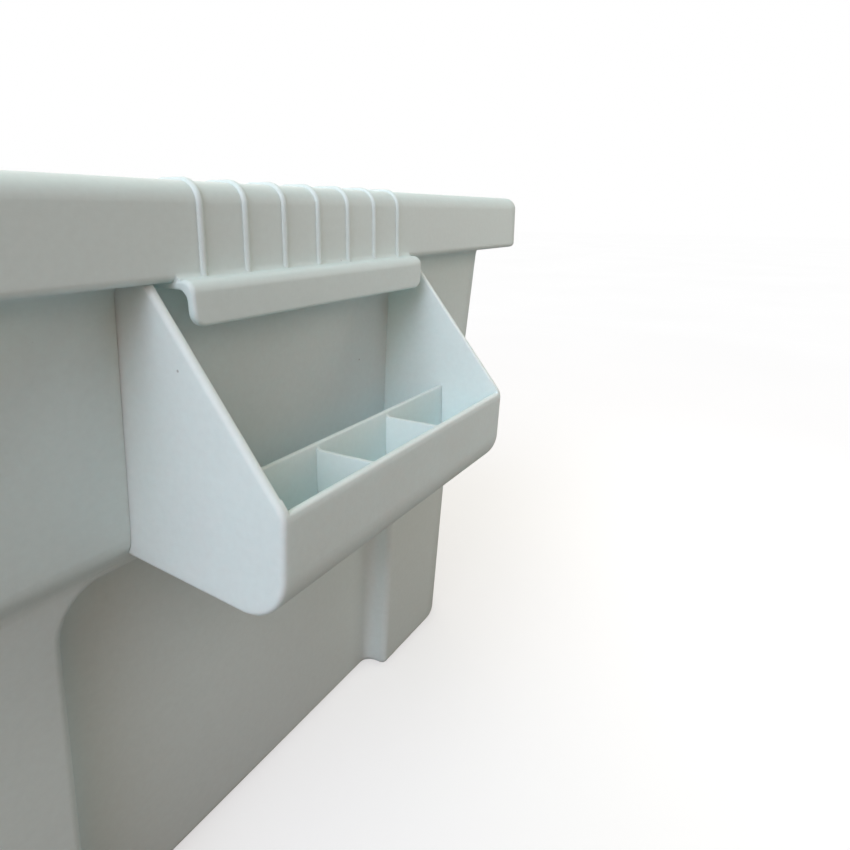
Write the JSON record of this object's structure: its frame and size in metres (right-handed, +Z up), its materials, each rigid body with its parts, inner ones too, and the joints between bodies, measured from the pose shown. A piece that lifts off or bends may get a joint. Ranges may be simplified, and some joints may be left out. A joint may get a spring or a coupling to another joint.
{
  "type": "resin wash station",
  "caption": "Stepped rectangular wash tub with a hollow grip rim, an end-mounted open tool caddy with lift-out partition, a perforated lift-out basket, a drip shelf and a ball-valve drain.",
  "frame": {"origin": "on the floor plane, at the middle of the tub's base", "axes": "+Z up, -Y towards the tool caddy end, +X across the tub's width"},
  "size_m": [0.4, 0.6812, 0.256],
  "materials": {
    "tub_plastic": "satin moulded polypropylene, pale cool grey",
    "basket_plastic": "satin moulded polypropylene",
    "grip_plastic": "fine-textured moulded grip",
    "valve_plastic": "moulded polypropylene",
    "lever_plastic": "moulded lever",
    "seat_plastic": "turned fluoropolymer",
    "black_rubber": "moulded solvent-proof rubber",
    "stainless": "drawn stainless steel",
    "chrome_ball": "polished ball"
  },
  "bodies": {
    "tub": {"wash_tub": "tub_plastic", "tool_caddy": "tub_plastic", "caddy_screws": "stainless", "caddy_seal_washers": "black_rubber", "caddy_cap_nuts": "stainless", "foot_pads": "black_rubber", "drain_valve_body": "valve_plastic", "drain_hose_tail": "valve_plastic", "drain_gasket": "black_rubber", "drain_locknut": "valve_plastic", "drain_ball_seats": "seat_plastic", "drain_stem_seal": "black_rubber"},
    "partition": {"caddy_partition": "tub_plastic"},
    "basket": {"wash_basket": "basket_plastic"},
    "front_bail": {"basket_handle_front": "stainless", "handle_grip_front": "grip_plastic"},
    "rear_bail": {"basket_handle_rear": "stainless", "handle_grip_rear": "grip_plastic"},
    "shelf": {"drip_shelf": "basket_plastic"},
    "tap": {"drain_lever": "lever_plastic", "drain_lever_screw": "stainless", "drain_stem": "stainless", "drain_ball": "chrome_ball"}
  },
  "joints": [
    {"name": "basket_lift", "type": "slide", "parent": "tub", "child": "basket", "axis": [0, 0, 1], "range_m": [0, 0.27]},
    {"name": "shelf_lift", "type": "slide", "parent": "tub", "child": "shelf", "axis": [0, 0, 1], "range_m": [0, 0.14]},
    {"name": "partition_lift", "type": "slide", "parent": "tub", "child": "partition", "axis": [0, 0, 1], "range_m": [0, 0.06]},
    {"name": "front_bail_swing", "type": "hinge", "parent": "basket", "child": "front_bail", "pos_m": [0, 0.094, 0.16195], "axis": [-1, 0, 0], "range_deg": [0, 90]},
    {"name": "rear_bail_swing", "type": "hinge", "parent": "basket", "child": "rear_bail", "pos_m": [0, 0.124, 0.16195], "axis": [1, 0, 0], "range_deg": [0, 90]},
    {"name": "tap_turn", "type": "hinge", "parent": "tub", "child": "tap", "pos_m": [0, 0.28002, 0.024], "axis": [0, 0, 1], "range_deg": [0, 90]}
  ]
}
